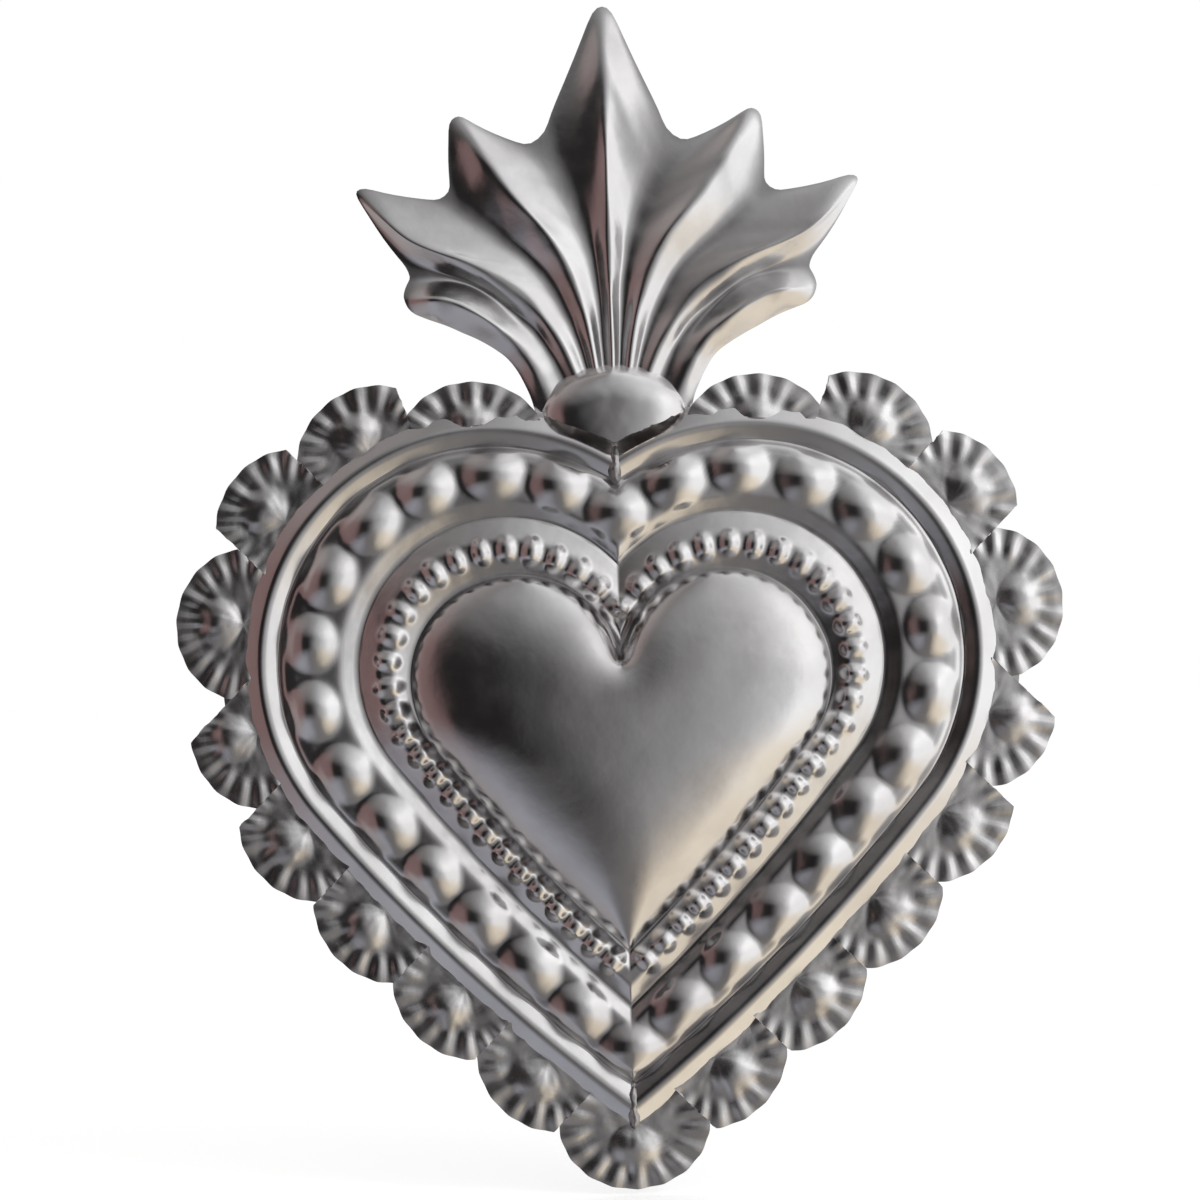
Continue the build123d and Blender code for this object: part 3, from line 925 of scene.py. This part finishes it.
def seen_as(nodes, links, unseen, seen):
    """A strength for what the camera, the polish and glass see, and another for all other light."""
    ray = nodes.new("ShaderNodeLightPath")
    either = nodes.new("ShaderNodeMath")
    either.operation = "MAXIMUM"
    links.new(ray.outputs["Is Camera Ray"], either.inputs[0])
    links.new(ray.outputs["Is Glossy Ray"], either.inputs[1])
    any_of = nodes.new("ShaderNodeMath")
    any_of.operation = "MAXIMUM"
    links.new(either.outputs["Value"], any_of.inputs[0])
    links.new(ray.outputs["Is Transmission Ray"], any_of.inputs[1])
    level = nodes.new("ShaderNodeMapRange")
    level.inputs["To Min"].default_value = unseen
    level.inputs["To Max"].default_value = seen
    links.new(any_of.outputs["Value"], level.inputs["Value"])
    return level.outputs["Result"]


def plain_floor():
    """A pale floor, lifted to white for the camera, that keeps the shadow of the piece."""
    put_down()
    bpy.ops.mesh.primitive_plane_add(size=3, location=(0, 0, floor_level))
    plane = started("floor")
    finish = bpy.data.materials.new("pale floor")
    finish.use_nodes = True
    nodes = finish.node_tree.nodes
    links = finish.node_tree.links
    shader = nodes["Principled BSDF"]
    shader.inputs["Base Color"].default_value = (0.9, 0.9, 0.9, 1)
    shader.inputs["Roughness"].default_value = 0.9
    lift = nodes.new("ShaderNodeEmission")
    links.new(seen_as(nodes, links, unseen=0.0, seen=floor_lift), lift.inputs["Strength"])
    both = nodes.new("ShaderNodeAddShader")
    links.new(shader.outputs["BSDF"], both.inputs[0])
    links.new(lift.outputs["Emission"], both.inputs[1])
    links.new(both.outputs["Shader"], nodes["Material Output"].inputs["Surface"])
    paint(plane, finish)
    plane.visible_glossy = False


def surround():
    """The room round the piece, seen only in its polish: dark on the left, a window on the right."""
    put_down()
    bpy.ops.mesh.primitive_uv_sphere_add(segments=96, ring_count=48, radius=room_radius)
    room = started("room")
    glow = bpy.data.materials.new("room")
    glow.use_nodes = True
    paint(room, glow)
    room.visible_camera = False
    room.visible_diffuse = False
    room.visible_shadow = False
    room.visible_transmission = False
    nodes = glow.node_tree.nodes
    links = glow.node_tree.links
    place_on = nodes.new("ShaderNodeTexCoord")
    round_about = nodes.new("ShaderNodeTexGradient")
    round_about.gradient_type = "RADIAL"
    links.new(place_on.outputs["Object"], round_about.inputs["Vector"])
    parts = nodes.new("ShaderNodeSeparateXYZ")
    links.new(place_on.outputs["Object"], parts.inputs["Vector"])
    walls = tones(nodes, wall_tones)
    links.new(round_about.outputs["Fac"], walls.inputs["Fac"])
    seen = walls.outputs["Color"]
    for stops, (start, full) in ((ceiling_tones, ceiling_levels), (ground_tones, ground_levels)):
        level = nodes.new("ShaderNodeMapRange")
        level.inputs["From Min"].default_value = start
        level.inputs["From Max"].default_value = full
        links.new(parts.outputs["Z"], level.inputs["Value"])
        band = tones(nodes, stops)
        links.new(round_about.outputs["Fac"], band.inputs["Fac"])
        blend = nodes.new("ShaderNodeMix")
        blend.data_type = "RGBA"
        links.new(level.outputs["Result"], blend.inputs[0])
        links.new(seen, blend.inputs[6])
        links.new(band.outputs["Color"], blend.inputs[7])
        seen = blend.outputs[2]
    light = nodes.new("ShaderNodeEmission")
    links.new(seen, light.inputs["Color"])
    links.new(light.outputs["Emission"], nodes["Material Output"].inputs["Surface"])


def tones(nodes, stops):
    """A ramp of tones round the room, each at an angle from straight ahead, left to right."""
    ramp = nodes.new("ShaderNodeValToRGB")
    steps = ramp.color_ramp.elements
    for k, (across, tone) in enumerate(stops):
        spot = 0.25 + across / 360
        step = steps[k] if k < 2 else steps.new(spot)
        step.position = spot
        step.color = (*tone, 1)
    return ramp


def soft_lamp(name, spot, watts, size):
    put_down()
    bpy.ops.object.light_add(type="AREA", location=spot)
    lamp = bpy.context.active_object
    lamp.name = name
    lamp.data.energy = watts
    lamp.data.size = size
    lamp.rotation_euler = (Vector(lamp_aim) - Vector(spot)).to_track_quat("-Z", "Y").to_euler()


def white_world():
    world = bpy.data.worlds.new("white studio")
    bpy.context.scene.world = world
    world.use_nodes = True
    nodes = world.node_tree.nodes
    links = world.node_tree.links
    sky = nodes["Background"]
    sky.inputs["Color"].default_value = (1, 1, 1, 1)
    links.new(seen_as(nodes, links, unseen=sky_light, seen=1.0), sky.inputs["Strength"])


def photograph():
    """The camera, straight in front and rolled a little."""
    bpy.ops.object.camera_add(
        location=Vector(camera_spot) * MM,
        rotation=(pi / 2, radians(camera_roll), 0),
    )
    camera = bpy.context.active_object
    camera.name = "camera"
    camera.data.lens = 100
    camera.data.sensor_width = 36
    camera.data.clip_start = 0.01
    bpy.context.scene.camera = camera


plain_floor()
surround()
soft_lamp("window light", lamp_spot, watts=0.8, size=0.3)
white_world()
photograph()
bpy.context.scene.view_settings.view_transform = "Standard"
